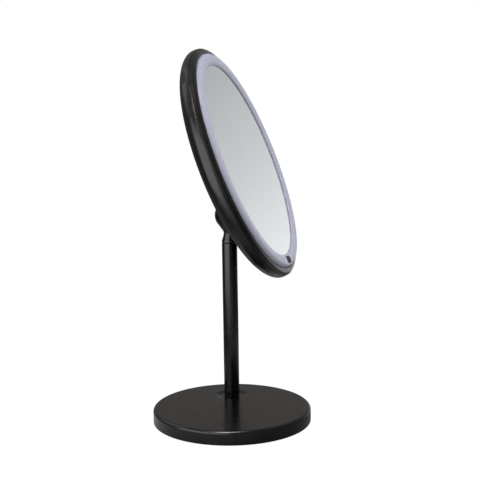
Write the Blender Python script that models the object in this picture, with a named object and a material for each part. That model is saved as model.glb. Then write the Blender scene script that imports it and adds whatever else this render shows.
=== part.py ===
"""Lighted vanity mirror on a round weighted base.

A round mirror in a two-part head, ringed by an opal light, stands on a straight pole. A ball joint low on
the back of the head lets it swivel, tilt and lean. The battery, boards and charging socket are in the head.

Frame: metres, +Z up, origin at the centre of the base's underside. The mirror faces -Y, and +X is to the
right of a person who looks into it. All dimensions below are in millimetres and degrees.
"""

import math

import bmesh
import bpy
from mathutils import Euler, Matrix, Vector

MM = 0.001
GAP = 0.3
FINE = 48
MEDIUM = 32
COARSE = 20
SMALL = 12

# Base
BASE_RADIUS = 65.9
BASE_HEIGHT = 12.0
BASE_WALL = 2.0
BASE_FILLET = 2.4
DIMPLE_RADIUS = 13.8
DIMPLE_DEPTH = 1.0
PAD_THICKNESS = 2.0
WEIGHT_TOP = 8.4

# Pole, set back from the middle of the base
POLE_SPOT = (32.2, 7.3, 0)
POLE_RADIUS = 6.5
POLE_WALL = 1.2
POLE_TOP = 145.5
BOLT_RADIUS = 3.0
BOLT_RECESS = 7.2
BOLT_LEDGE = 6.8
BOLT_TIP = 28.7
SHANK_RADIUS = 3.0

# Ball joint
BALL_HEIGHT = 168.9
BALL_RADIUS = 12.1
NECK_RADIUS = 4.8
SEAT_RADII = (12.5, 13.4)
SOCKET_RADIUS = 13.7
COLLAR_RADIUS = 15.8
COLLAR_LIP = 4.2
NOTCH_RADIUS = 10.6
NOTCH_DROP = 2.0
CLAMP_CIRCLE = 19.5

# Pose of the head at rest, and where the ball is in it
HEAD_TILT = 21.9
HEAD_LEAN = -7.2
HEAD_REACH = 32.1
HEAD_RISE = 36.9

# Head outline: radii, and heights above the plane where light ring and bezel meet
GLASS_RADIUS = 86.2
GLASS_FACE = 0.9
GLASS_THICKNESS = 2.0
RING_INNER = 84.4
RING_LIP = 85.6
RING_WALL = 86.6
RING_CREST = 91.4
RING_CREST_FACE = 3.1
RING_OUTER = 95.2
RING_SKIN = 1.6
BEZEL_OUTER = 100.9
PARTING = -3.4
PARTING_GAP = 0.3
SHELL_RADIUS = 101.4
SHELL_WIDEST = -6.7
SHELL_FLAT = 71.6
SHELL_BACK = -20.7
SHELL_WALL = 2.0
FRAME_BOSS_CIRCLE = 68.0

# Touch key and charging port
TOUCH_SIZE = (12.5, 5.8, 2.9)
TOUCH_RADIUS = 89.3
PORT_CLOCK = -43.2
PORT_HEIGHT = -10.4
PORT_SIZE = (14.5, 4.75, 1.5)
PORT_THICKNESS = 1.6

LED_COUNT = 24
LED_CIRCLE = 90.9

COLOURS = {
    "satin_black": ((0.018, 0.018, 0.019), 0.42, 0.0),
    "black_plastic": ((0.02, 0.02, 0.021), 0.5, 0.0),
    "rubber": ((0.014, 0.014, 0.015), 0.75, 0.0),
    "cast_iron": ((0.16, 0.16, 0.17), 0.7, 1.0),
    "steel": ((0.55, 0.55, 0.57), 0.35, 1.0),
    "spring_steel": ((0.4, 0.4, 0.42), 0.3, 1.0),
    "acetal": ((0.75, 0.74, 0.7), 0.45, 0.0),
    "mirror": ((0.86, 0.88, 0.89), 0.03, 1.0),
    "opal": ((0.42, 0.42, 0.5), 0.35, 0.0),
    "charcoal": ((0.035, 0.034, 0.033), 0.6, 0.0),
    "board": ((0.03, 0.16, 0.08), 0.5, 0.0),
    "white_board": ((0.8, 0.8, 0.78), 0.5, 0.0),
    "foam": ((0.1, 0.1, 0.11), 0.9, 0.0),
    "battery_foil": ((0.6, 0.62, 0.64), 0.4, 0.6),
    "wire": ((0.4, 0.03, 0.03), 0.5, 0.0),
}

BALL_SPOT = Matrix.Translation((POLE_SPOT[0] * MM, POLE_SPOT[1] * MM, BALL_HEIGHT * MM))


# ---------------------------------------------------------------- outlines


def arc(centre, radii, start, end, steps):
    """Points on an ellipse arc from start to end degrees, both ends included."""
    points = []
    for i in range(steps + 1):
        angle = math.radians(start + (end - start) * i / steps)
        points.append((centre[0] + radii[0] * math.cos(angle), centre[1] + radii[1] * math.sin(angle)))
    return points


def rounded_rectangle(width, height, radius, steps=3):
    """Closed outline of a rectangle with rounded corners, centred on the origin."""
    points = []
    for i, (sx, sy) in enumerate(((1, 1), (-1, 1), (-1, -1), (1, -1))):
        corner = (sx * (width / 2 - radius), sy * (height / 2 - radius))
        points += arc(corner, (radius, radius), 90 * i, 90 * i + 90, steps)
    return points


def polygon(radius, sides):
    """Closed outline of a regular polygon."""
    return arc((0, 0), (radius, radius), 0, 360 - 360 / sides, sides - 1)


def clock(degrees, radius):
    """Point on a circle, by an angle from the top towards +X."""
    angle = math.radians(degrees)
    return (radius * math.sin(angle), radius * math.cos(angle))


# ---------------------------------------------------------------- solids


def material(name):
    """Principled material of the named finish, made once."""
    found = bpy.data.materials.get(name)
    if found:
        return found
    colour, roughness, metallic = COLOURS[name]
    made = bpy.data.materials.new(name)
    made.use_nodes = True
    shader = made.node_tree.nodes["Principled BSDF"]
    shader.inputs["Base Color"].default_value = (*colour, 1.0)
    shader.inputs["Roughness"].default_value = roughness
    shader.inputs["Metallic"].default_value = metallic
    return made


def place(name, bm, finish, parent=None, spot=(0, 0, 0), turn=(0, 0, 0)):
    """Object from a mesh in millimetres, placed under a parent by a location and an XYZ rotation."""
    bmesh.ops.scale(bm, vec=(MM, MM, MM), verts=bm.verts)
    bmesh.ops.remove_doubles(bm, verts=bm.verts, dist=1e-6)
    bmesh.ops.recalc_face_normals(bm, faces=bm.faces)
    mesh = bpy.data.meshes.new(name)
    bm.to_mesh(mesh)
    bm.free()
    mesh.shade_smooth()
    mesh.set_sharp_from_angle(angle=math.radians(35))
    mesh.materials.append(material(finish))
    made = bpy.data.objects.new(name, mesh)
    bpy.context.collection.objects.link(made)
    made.parent = parent
    made.location = Vector(spot) * MM
    made.rotation_euler = Euler([math.radians(a) for a in turn])
    return made


def turned(outline, segments):
    """Mesh of a closed (radius, height) outline turned about Z."""
    bm = bmesh.new()
    verts = [bm.verts.new((r, 0, z)) for r, z in outline]
    edges = []
    for a, b in zip(verts, verts[1:] + verts[:1]):
        if a.co.x > 0 or b.co.x > 0:
            edges.append(bm.edges.new((a, b)))
    bmesh.ops.spin(bm, geom=verts + edges, cent=(0, 0, 0), axis=(0, 0, 1), angle=2 * math.pi,
                   steps=segments, use_merge=True)
    bmesh.ops.remove_doubles(bm, verts=bm.verts, dist=1e-4)
    return bm


def extruded(outline, low, high):
    """Mesh of a closed XY outline raised from one height to another."""
    bm = bmesh.new()
    bottom = bm.faces.new([bm.verts.new((x, y, low)) for x, y in outline])
    raised = bmesh.ops.extrude_face_region(bm, geom=[bottom])["geom"]
    for vert in raised:
        if isinstance(vert, bmesh.types.BMVert):
            vert.co.z = high
    return bm


def copies(bm, spots):
    """One mesh with a copy of bm at each spot."""
    piece = bpy.data.meshes.new("copy")
    bm.to_mesh(piece)
    bm.free()
    whole = bmesh.new()
    for spot in spots:
        first = len(whole.verts)
        whole.from_mesh(piece)
        whole.verts.ensure_lookup_table()
        bmesh.ops.translate(whole, vec=spot, verts=whole.verts[first:])
    return whole


def cutter(name, bm, parent=None, spot=(0, 0, 0), turn=(0, 0, 0)):
    """Guide solid for a Boolean modifier, not part of the object."""
    made = place(name, bm, "steel", parent, spot, turn)
    made.hide_render = True
    made.display_type = "WIRE"
    return made


def combine(target, guide, operation):
    """Boolean modifier on target."""
    modifier = target.modifiers.new(guide.name, "BOOLEAN")
    modifier.object = guide
    modifier.operation = operation
    modifier.solver = "EXACT"


def pivot(name, matrix, parent=None):
    """Empty that carries a body; its origin is on the body's joint axis."""
    made = bpy.data.objects.new(name, None)
    bpy.context.collection.objects.link(made)
    made.parent = parent
    made.matrix_local = matrix
    return made


def lead(name, points, radius, parent, spot=(0, 0, 0)):
    """Wire lead along a smooth route, as a tube with closed ends."""
    curve = bpy.data.curves.new(name, "CURVE")
    curve.dimensions = "3D"
    curve.bevel_depth = radius * MM
    curve.bevel_resolution = 1
    curve.use_fill_caps = True
    spline = curve.splines.new("POLY")
    spline.points.add(len(points) - 1)
    for target, point in zip(spline.points, points):
        target.co = (*(Vector(point) * MM), 1.0)
    curve.materials.append(material("wire"))
    made = bpy.data.objects.new(name, curve)
    bpy.context.collection.objects.link(made)
    made.parent = parent
    made.location = Vector(spot) * MM
    return made


def smooth_route(corners, steps):
    """Points along a Catmull-Rom curve through the corners."""
    ends = [corners[0]] + list(corners) + [corners[-1]]
    points = []
    for i in range(1, len(ends) - 2):
        a, b, c, d = (Vector(p) for p in ends[i - 1 : i + 3])
        for k in range(steps):
            t = k / steps
            curved = (2 * a - 5 * b + 4 * c - d) * t**2 + (3 * b - a - 3 * c + d) * t**3
            points.append(0.5 * (2 * b + (c - a) * t + curved))
    points.append(Vector(corners[-1]))
    return points


# ---------------------------------------------------------------- stand


def base_parts():
    """Foam pad, iron weight and cover of the round base."""
    radius = BASE_RADIUS - BASE_WALL - GAP
    pad = [(0, 0), (radius - 0.7, 0), (radius, 0.7), (radius, PAD_THICKNESS), (0, PAD_THICKNESS)]
    place("foot_pad", turned(pad, FINE), "foam")

    low = PAD_THICKNESS + GAP
    weight = [(0, low), (radius, low), (radius, WEIGHT_TOP - 1), (radius - 1, WEIGHT_TOP), (0, WEIGHT_TOP)]
    iron = place("base_weight", turned(weight, FINE), "cast_iron")
    bore = BOLT_RADIUS + GAP
    hole = [(0, low - 1), (BOLT_RECESS, low - 1), (BOLT_RECESS, BOLT_LEDGE), (bore, BOLT_LEDGE)]
    hole += [(bore, WEIGHT_TOP + 1), (0, WEIGHT_TOP + 1)]
    combine(iron, cutter("weight_bore", turned(hole, COARSE), None, POLE_SPOT), "DIFFERENCE")

    skirt = 0.5
    under = BASE_HEIGHT - BASE_WALL
    corner = (BASE_RADIUS - BASE_FILLET, BASE_HEIGHT - BASE_FILLET)
    outline = [(BASE_RADIUS - BASE_WALL, skirt), (BASE_RADIUS - 0.6, skirt), (BASE_RADIUS, skirt + 0.6)]
    outline += arc(corner, (BASE_FILLET, BASE_FILLET), 0, 90, 4)
    outline += [(0, BASE_HEIGHT), (0, under), (BASE_RADIUS - BASE_WALL - 1.4, under)]
    outline += [(BASE_RADIUS - BASE_WALL, under - 1.4)]
    cover = place("base_cover", turned(outline, FINE), "satin_black")
    wide = DIMPLE_RADIUS + 1
    deep = under - DIMPLE_DEPTH
    boss = [(0, deep), (wide, deep), (wide, under + 0.5), (0, under + 0.5)]
    combine(cover, cutter("dish_boss", turned(boss, MEDIUM), None, POLE_SPOT), "UNION")
    dish = POLE_RADIUS + 0.6
    floor = BASE_HEIGHT - DIMPLE_DEPTH
    hollow = [(0, under - 3), (bore, under - 3), (bore, floor), (dish, floor), (dish + 1.6, floor + 0.04)]
    hollow += [(DIMPLE_RADIUS - 3.2, BASE_HEIGHT - 0.75), (DIMPLE_RADIUS - 1.2, BASE_HEIGHT - 0.15)]
    hollow += [(DIMPLE_RADIUS, BASE_HEIGHT), (DIMPLE_RADIUS, BASE_HEIGHT + 1), (0, BASE_HEIGHT + 1)]
    combine(cover, cutter("dish", turned(hollow, MEDIUM), None, POLE_SPOT), "DIFFERENCE")


def bolt_parts():
    """Bolt and washer that hold the pole on the base, from below."""
    bore = BOLT_RADIUS + GAP
    under = BOLT_LEDGE - 1.8
    top = BOLT_LEDGE - GAP
    washer = [(bore + 0.1, under), (6.6, under), (6.6, top), (bore + 0.1, top)]
    place("base_washer", turned(washer, COARSE), "steel", None, POLE_SPOT)

    low = PAD_THICKNESS + GAP
    seat = under - GAP
    bolt = [(0, low + 0.4), (4.6, low + 0.4), (5.0, low + 0.8), (5.0, seat), (BOLT_RADIUS, seat)]
    bolt += [(BOLT_RADIUS, BOLT_TIP - 0.8), (BOLT_RADIUS - 0.8, BOLT_TIP), (0, BOLT_TIP)]
    base_bolt = place("base_bolt", turned(bolt, COARSE), "steel", None, POLE_SPOT)
    key = cutter("base_bolt_key", extruded(polygon(2.9, 6), low, low + 1.7), None, POLE_SPOT)
    combine(base_bolt, key, "DIFFERENCE")


def pole_parts():
    """Tube, the threaded plug in its foot, and the bush in its top that the stud turns in."""
    foot = BASE_HEIGHT - DIMPLE_DEPTH + GAP
    inner = POLE_RADIUS - POLE_WALL
    edge = 0.8
    tube = [(inner, foot), (POLE_RADIUS, foot), (POLE_RADIUS, POLE_TOP - edge)]
    tube += arc((POLE_RADIUS - edge, POLE_TOP - edge), (edge, edge), 0, 90, 4)[1:]
    tube += [(inner, POLE_TOP)]
    place("pole_tube", turned(tube, MEDIUM), "satin_black", None, POLE_SPOT)

    bore = BOLT_RADIUS + GAP
    plug = inner - GAP
    insert = [(bore, foot + 0.4), (plug, foot + 0.4), (plug, foot + 20), (bore, foot + 20)]
    place("pole_insert", turned(insert, COARSE), "steel", None, POLE_SPOT)

    bore = SHANK_RADIUS + GAP
    bush = [(bore, POLE_TOP - 26), (plug, POLE_TOP - 26), (plug, POLE_TOP), (bore, POLE_TOP)]
    place("swivel_bush", turned(bush, COARSE), "acetal", None, POLE_SPOT)


def stud_parts(stud_pivot):
    """Ball, neck, cone and shank in one turned piece, and the clip that keeps it in the bush."""
    cone_foot = POLE_TOP + 0.4 - BALL_HEIGHT
    tip = POLE_TOP - 28.6 - BALL_HEIGHT
    groove = (tip + 0.6, tip + 2.2)
    waist = -14.7
    stud = [(0, tip), (SHANK_RADIUS - 0.5, tip), (SHANK_RADIUS, tip + 0.5), (SHANK_RADIUS, groove[0])]
    stud += [(2.2, groove[0]), (2.2, groove[1]), (SHANK_RADIUS, groove[1]), (SHANK_RADIUS, cone_foot)]
    stud += [(6.2, cone_foot), (POLE_RADIUS, cone_foot + 0.4), (POLE_RADIUS + 0.05, cone_foot + 0.9)]
    stud += [(6.3, cone_foot + 2.0), (5.2, waist - 3.1), (NECK_RADIUS + 0.1, waist - 1.2)]
    stud += [(NECK_RADIUS, waist), (NECK_RADIUS + 0.3, waist + 0.9), (NECK_RADIUS + 0.9, waist + 1.9)]
    stud += arc((0, 0), (BALL_RADIUS, BALL_RADIUS), -43, 90, 10)
    place("ball_stud", turned(stud, MEDIUM), "satin_black", stud_pivot)

    clip = [(2.5, groove[0] + GAP), (4.7, groove[0] + GAP), (4.7, groove[1] - GAP), (2.5, groove[1] - GAP)]
    stud_clip = place("stud_clip", turned(clip, COARSE), "spring_steel", stud_pivot)
    mouth = extruded(rounded_rectangle(2.6, 6, 0.2, 1), tip, tip + 3)
    combine(stud_clip, cutter("stud_clip_mouth", mouth, stud_pivot, (0, -4, 0)), "DIFFERENCE")


def seat_part(seat_pivot):
    """C-shaped friction seat round the ball, open below for the neck."""
    inner, outer = SEAT_RADII
    rear = -(COLLAR_LIP - 0.4)
    front = 6.0
    turns = [math.degrees(math.asin(h / r)) for r in (inner, outer) for h in (rear, front)]
    seat = arc((0, 0), (outer, outer), turns[2], turns[3], 4)
    seat += arc((0, 0), (inner, inner), turns[1], turns[0], 4)
    ball_seat = place("ball_seat", turned(seat, MEDIUM), "acetal", seat_pivot)
    reach = outer + 2
    opening = extruded(rounded_rectangle(17.6, reach, 0.5, 1), -8, 8)
    combine(ball_seat, cutter("ball_seat_opening", opening, seat_pivot, (0, -reach / 2 - 2, 0)), "DIFFERENCE")


# ---------------------------------------------------------------- head shells


def clamp_spots():
    """Screws round the ball, in the head's own frame."""
    return [(x, y - HEAD_RISE, 0) for x, y in (clock(120 * i, CLAMP_CIRCLE) for i in range(3))]


def frame_spots():
    """Screws that hold the inner frame, in the head's own frame."""
    return [(*clock(90 * i, FRAME_BOSS_CIRCLE), 0) for i in range(4)]


def shell_curve(inset, start, end, steps):
    """Rounded back of the rear cover, or its inside at the wall's inset, from rim to flat."""
    radii = (SHELL_RADIUS - SHELL_FLAT - inset, SHELL_WIDEST - SHELL_BACK - inset)
    return arc((SHELL_FLAT, SHELL_WIDEST), radii, start, end, steps)


def screw_outline(head_radius, head_height, radius, length):
    """Pan-head screw, head up, with the underside of its head at height 0."""
    outline = [(0, -length), (radius - 0.5, -length), (radius, 0.5 - length), (radius, 0), (head_radius, 0)]
    outline += [(head_radius, head_height - 0.6), (head_radius - 0.6, head_height), (0, head_height)]
    return outline


def screw(name, spot, head_radius, head_height, radius, length, head):
    """Steel screw with a cross recess."""
    outline = screw_outline(head_radius, head_height, radius, length)
    made = place(name, turned(outline, SMALL), "steel", head, spot)
    cross = extruded(rounded_rectangle(head_radius * 1.1, 0.8, 0.1, 1), head_height - 0.7, head_height + 1)
    combine(made, cutter(name + "_slot", cross, head, spot), "DIFFERENCE")


def bosses(target, name, spots, radius, low, high, depth, head):
    """Screw bosses joined to a shell, each with a blind hole from its top."""
    post = turned([(0, low), (radius, low), (radius, high), (0, high)], SMALL)
    combine(target, cutter(name + "_posts", copies(post, spots), head), "UNION")
    hole = 1.8
    bore = turned([(0, high - depth), (hole, high - depth), (hole, high + 1), (0, high + 1)], SMALL)
    combine(target, cutter(name + "_holes", copies(bore, spots), head), "DIFFERENCE")


def rear_cover_part(head):
    """Dished back shell with the ball's collar, screw bosses and the charging port's opening."""
    rim = PARTING - PARTING_GAP / 2
    inside = SHELL_BACK + SHELL_WALL
    outline = [(SHELL_RADIUS - SHELL_WALL - 0.4, rim), (SHELL_RADIUS - 0.6, rim)]
    outline += [(SHELL_RADIUS - 0.3, rim - 0.4)]
    outline += shell_curve(0, 0, -90, 8) + [(0, SHELL_BACK), (0, inside)]
    outline += shell_curve(SHELL_WALL, -90, 0, 6)
    cover = place("rear_cover", turned(outline, FINE), "satin_black", head)

    width, height, radius = (size + 2 * GAP for size in PORT_SIZE)
    opening = extruded(rounded_rectangle(width, height, radius - GAP), 90, 106)
    port = cutter("port_opening", opening, head, (0, 0, PORT_HEIGHT), (-90, 0, -PORT_CLOCK))
    combine(cover, port, "DIFFERENCE")

    ball = (0, -HEAD_RISE, -HEAD_REACH)
    back = SHELL_BACK + HEAD_REACH
    round_edge = arc((COLLAR_RADIUS - 1, 1 - COLLAR_LIP), (1, 1), -90, 0, 2)
    flare = arc((COLLAR_RADIUS + 3, back - 3), (3, 3), 180, 90, 3)
    collar = [(0, -COLLAR_LIP)] + round_edge + flare + [(COLLAR_RADIUS + 3, back + 1), (0, back + 1)]
    combine(cover, cutter("collar", turned(collar, MEDIUM), head, ball), "UNION")

    bosses(cover, "clamp", clamp_spots(), 3.4, inside - 0.5, -16.4, 2.9, head)
    bosses(cover, "frame", frame_spots(), 3.6, inside - 0.5, -4.8, 11.0, head)

    bore = arc((0, 0), (SOCKET_RADIUS, SOCKET_RADIUS), -90, 0, 6) + [(SOCKET_RADIUS, back + 6), (0, back + 6)]
    combine(cover, cutter("ball_bore", turned(bore, MEDIUM), head, ball), "DIFFERENCE")
    notch = arc((0, -NOTCH_DROP), (NOTCH_RADIUS, NOTCH_RADIUS), 0, 180, 10)
    notch += [(-NOTCH_RADIUS, -14), (NOTCH_RADIUS, -14)]
    slot = cutter("neck_notch", extruded(notch, 0, 24), head, ball, (90, 0, 0))
    combine(cover, slot, "DIFFERENCE")


def bezel_part(head):
    """Front rim: flared outer face, lip over the light ring, and a spigot into the rear cover."""
    lip = RING_OUTER + GAP
    low = PARTING + PARTING_GAP / 2
    outline = [(lip, low), (lip, -0.2), (lip + 0.2, 0)]
    outline += arc((lip + 0.4, low + 0.3), (BEZEL_OUTER - lip - 0.4, -low - 0.3), 90, 0, 5)
    outline += [(BEZEL_OUTER - 0.3, low), (98.6, low), (98.6, -7.6), (97.6, -7.6), (97.6, low)]
    place("front_bezel", turned(outline, FINE), "satin_black", head)


def ring_outline(raise_by):
    """Face of the light ring, from the foot of its inner lip over the crest to its outer edge."""
    bend = RING_OUTER - RING_CREST
    face = [(RING_INNER, GLASS_FACE + GAP), (RING_LIP - 0.1, RING_CREST_FACE - 0.3)]
    face += [(RING_LIP + 0.3, RING_CREST_FACE)]
    face += arc((RING_CREST, RING_CREST_FACE - bend), (bend, bend), 90, 0, 4)
    return [(r, z + raise_by) for r, z in face]


def ring_parts(head):
    """Opal light ring, a channel open at the back whose lip holds the glass, and the touch key set in it."""
    flange = PARTING - 0.2
    foot = -4.9
    wall = 1.5
    inner_foot = -3.1
    roof = RING_CREST_FACE - RING_SKIN
    outline = [(RING_WALL, inner_foot), (RING_WALL, GLASS_FACE + GAP)] + ring_outline(0)
    outline += [(RING_OUTER, flange), (97.2, flange), (97.2, foot), (RING_OUTER - wall, foot)]
    outline += [(RING_OUTER - wall, -0.4), (RING_CREST, roof), (RING_WALL + wall, roof)]
    outline += [(RING_WALL + wall, inner_foot)]
    ring = place("light_ring", turned(outline, FINE), "opal", head)

    spot = (0, -TOUCH_RADIUS, 0)
    width, height, radius = TOUCH_SIZE
    hole = extruded(rounded_rectangle(width + 2 * GAP, height + 2 * GAP, radius + GAP - 0.01), 0, 8)
    combine(ring, cutter("touch_hole", hole, head, spot), "DIFFERENCE")

    block = extruded(rounded_rectangle(width, height, radius - 0.01), 0.4, 6)
    key = place("touch_key", block, "charcoal", head, spot)
    face = ring_outline(0.1)
    under = [(face[-1][0], -3), (face[0][0], -3)]
    combine(key, cutter("touch_face", turned(face + under, FINE), head), "INTERSECT")

    board = extruded(rounded_rectangle(16, 4.6, 0.6, 1), -1.4, -0.4)
    place("touch_board", board, "board", head, (0, -LED_CIRCLE, 0))


def frame_part(head):
    """Inner frame that carries the glass and the lamp board."""
    low = -7.0
    high = -5.3
    step = 81.3
    plate = (-4.5, -2.8)
    edge = 97.0
    outline = [(0, plate[0]), (step - 1.3, plate[0]), (step - 1.3, low), (edge, low), (edge, high)]
    outline += [(step, high), (step, plate[1]), (0, plate[1])]
    frame = place("inner_frame", turned(outline, FINE), "black_plastic", head)
    hole = turned([(0, -6), (1.9, -6), (1.9, -4.0), (3.4, -4.0), (3.4, 0), (0, 0)], SMALL)
    combine(frame, cutter("frame_screw_holes", copies(hole, frame_spots()), head), "DIFFERENCE")
    for i, (x, y, _) in enumerate(frame_spots()):
        screw(f"frame_screw_{i + 1}", (x, y, -4.0 + 0.2), 2.8, 0.8, 1.5, 10.5, head)
    for name, angle in (("led", PORT_CLOCK), ("touch", 180)):
        slot = extruded(rounded_rectangle(7, 4, 1.5), -9, -4)
        spot = (*clock(angle, LED_CIRCLE), 0)
        combine(frame, cutter(f"{name}_lead_slot", slot, head, spot, (0, 0, -angle)), "DIFFERENCE")


def glass_parts(head):
    """Glass mirror and the foam pad that bonds it to the frame."""
    back = GLASS_FACE - GLASS_THICKNESS
    bevel = 0.4
    outline = [(0, back), (GLASS_RADIUS - bevel, back), (GLASS_RADIUS, back + bevel)]
    outline += [(GLASS_RADIUS, GLASS_FACE - bevel), (GLASS_RADIUS - bevel, GLASS_FACE), (0, GLASS_FACE)]
    place("mirror_glass", turned(outline, FINE), "mirror", head)
    low = -2.5
    high = back - GAP
    pad = [(0, low), (60, low), (60, high), (0, high)]
    place("mirror_pad", turned(pad, COARSE), "foam", head)


# ---------------------------------------------------------------- parts inside the head


def clamp_parts(head):
    """Concave cup, wave spring and plate that press the ball into the collar, and their screws."""
    ball = (0, -HEAD_RISE, -HEAD_REACH)
    inner = SEAT_RADII[0]
    rim = 9.0
    top = 15.0
    wide = SOCKET_RADIUS - 0.4
    start = math.degrees(math.asin(rim / inner))
    cup = arc((0, 0), (inner, inner), 90, start, 5) + [(wide, rim), (wide, top), (0, top)]
    place("pressure_cup", turned(cup, MEDIUM), "acetal", head, ball)

    spring = turned([(8.0, -0.25), (12.4, -0.25), (12.4, 0.25), (8.0, 0.25)], MEDIUM)
    for vert in spring.verts:
        vert.co.z += 0.18 * math.sin(3 * math.atan2(vert.co.y, vert.co.x))
    place("friction_spring", spring, "spring_steel", head, (0, -HEAD_RISE, -HEAD_REACH + top + 0.7))

    low = -HEAD_REACH + top + 1.4
    plate = turned([(4.0, low), (23.5, low), (23.5, low + 1.6), (4.0, low + 1.6)], MEDIUM)
    clamp = place("clamp_plate", plate, "steel", head, (0, -HEAD_RISE, 0))
    hole = turned([(0, low - 1), (1.9, low - 1), (1.9, low + 3), (0, low + 3)], SMALL)
    combine(clamp, cutter("clamp_screw_holes", copies(hole, clamp_spots()), head), "DIFFERENCE")
    for i, (x, y, _) in enumerate(clamp_spots()):
        screw(f"clamp_screw_{i + 1}", (x, y, low + 1.6 + GAP), 2.8, 1.6, 1.5, 4.2, head)


def lamp_part(head):
    """White ring board with its lamps, open at the bottom for the touch board."""
    low = -4.6
    high = -3.4
    ring = [(83.5, low), (93.1, low), (93.1, high), (83.5, high)]
    board = place("led_board", turned(ring, MEDIUM), "white_board", head)
    lamps = bmesh.new()
    for i in range(LED_COUNT):
        angle = 360 * (i + 0.5) / LED_COUNT
        spot = Matrix.Translation((*clock(angle, LED_CIRCLE), high + 0.3))
        turn = Matrix.Rotation(-math.radians(angle), 4, "Z")
        bmesh.ops.create_cube(lamps, size=1, matrix=spot @ turn @ Matrix.Diagonal((3.5, 2.8, 1.0, 1)))
    combine(board, cutter("lamps", lamps, head), "UNION")
    gap = extruded(rounded_rectangle(19, 20, 0.5, 1), low - 1, high + 2)
    combine(board, cutter("led_board_gap", gap, head, (0, -LED_CIRCLE, 0)), "DIFFERENCE")


def electronics_parts(head):
    """Battery, control board and charging socket."""
    spot = (0, 34, 0)
    floor = SHELL_BACK + SHELL_WALL
    pad = extruded(rounded_rectangle(50, 30, 1, 1), floor + GAP, floor + 1.0)
    place("battery_pad", pad, "foam", head, spot)
    cell = extruded(rounded_rectangle(60, 40, 2.5), floor + 1.3, floor + 8.3)
    place("battery", cell, "battery_foil", head, spot)

    low = -13.9
    high = low + 1.6
    face = (0, 0, -PORT_CLOCK)
    board = place("control_board", extruded(rounded_rectangle(26, 22, 1, 1), low, high), "board", head,
                  (*clock(PORT_CLOCK, 81.0), 0), face)
    chips = bmesh.new()
    for x, y, width, depth, height in ((-6, -4, 7, 7, 1.2), (7, -5, 5, 4, 2.0), (6, 3.5, 4, 3, 1.0)):
        turn = Matrix.Translation((x, y, high + height / 2 - 0.1))
        bmesh.ops.create_cube(chips, size=1, matrix=turn @ Matrix.Diagonal((width, depth, height + 0.2, 1)))
    combine(board, cutter("chips", chips, head, (*clock(PORT_CLOCK, 81.0), 0), face), "UNION")

    width, height, length = 9.0, 3.2, 7.4
    depth = 96.8
    turn = (-90, 0, -PORT_CLOCK)
    centre = (0, 0, PORT_HEIGHT)
    body = extruded(rounded_rectangle(width, height, 1.2), depth - length, depth)
    socket = place("charging_socket", body, "steel", head, centre, turn)
    mouth = extruded(rounded_rectangle(width - 0.7, height - 0.7, 0.9), depth - length + 0.8, depth + 1)
    combine(socket, cutter("socket_mouth", mouth, head, centre, turn), "DIFFERENCE")
    tongue = extruded(rounded_rectangle(width - 2.4, 0.7, 0.2, 1), depth - length + 0.4, depth - 0.6)
    combine(socket, cutter("socket_tongue", tongue, head, centre, turn), "UNION")


def lead_parts(head):
    """Leads between the boards and the battery."""
    board = clock(PORT_CLOCK, 75.0)
    route = [(-30.5, 34, -14), (-36, 34, -13.8), (-43, 40, -11.5), (board[0] + 2, board[1] - 4, -10.2)]
    lead("battery_lead", smooth_route(route, 5), 0.8, head)

    top = clock(PORT_CLOCK, LED_CIRCLE)
    foot = clock(PORT_CLOCK, 86.0)
    route = [(*foot, -11.2), (*foot, -9.5), (*top, -7.0), (*top, -4.9)]
    lead("led_lead", smooth_route(route, 4), 0.7, head)

    route = [(0, -90.2, -1.9), (0, -90.2, -5.5), (-2, -88.5, -8.6)]
    for angle in range(190, 301, 10):
        route.append((*clock(angle, 86.0), -10.5))
    route.append((*clock(PORT_CLOCK - 7, 82.0), -10.9))
    lead("touch_lead", smooth_route(route, 3), 0.7, head)


def port_cover_part(head):
    """Rubber cover that fills the port's opening, hinged at its lower end level with its proudest edge."""
    width, height, radius = PORT_SIZE
    front = PORT_HEIGHT + height / 2
    rim = math.sqrt(1 - ((front - SHELL_WIDEST) / (SHELL_WIDEST - SHELL_BACK)) ** 2)
    radial = SHELL_FLAT + (SHELL_RADIUS - SHELL_FLAT) * rim
    hinge = Vector((-width / 2, math.sqrt(radial**2 - width**2 / 4), PORT_HEIGHT))
    turn = Matrix.Rotation(-math.radians(PORT_CLOCK), 4, "Z")
    swing = pivot("port_cover_hinge", Matrix.Translation(turn @ hinge * MM) @ turn, head)

    plug = extruded(rounded_rectangle(width, height, radius), 92, 104)
    shift = Vector((0, 0, PORT_HEIGHT)) - hinge
    cover = place("port_cover", plug, "rubber", swing, shift, (-90, 0, 0))
    skin = shell_curve(0, -6, -62, 9) + shell_curve(PORT_THICKNESS, -62, -6, 9)
    combine(cover, cutter("port_skin", turned(skin, 3 * FINE), head), "INTERSECT")


# ---------------------------------------------------------------- assembly


def build():
    """Whole mirror: stand, ball stud, ball seat, head and port cover."""
    for old in list(bpy.data.objects):
        bpy.data.objects.remove(old)
    base_parts()
    bolt_parts()
    pole_parts()
    stud_pivot = pivot("swivel_axis", BALL_SPOT)
    stud_parts(stud_pivot)
    upright = Matrix.Rotation(math.radians(90), 4, "X")
    seat_pivot = pivot("tilt_axis", Matrix.Rotation(-math.radians(HEAD_TILT), 4, "X") @ upright, stud_pivot)
    seat_part(seat_pivot)
    lean_pivot = pivot("lean_axis", Matrix.Rotation(math.radians(HEAD_LEAN), 4, "Z"), seat_pivot)
    head = pivot("head", Matrix.Translation((0, HEAD_RISE * MM, HEAD_REACH * MM)), lean_pivot)
    rear_cover_part(head)
    bezel_part(head)
    ring_parts(head)
    frame_part(head)
    glass_parts(head)
    clamp_parts(head)
    lamp_part(head)
    electronics_parts(head)
    lead_parts(head)
    port_cover_part(head)


build()
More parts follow.
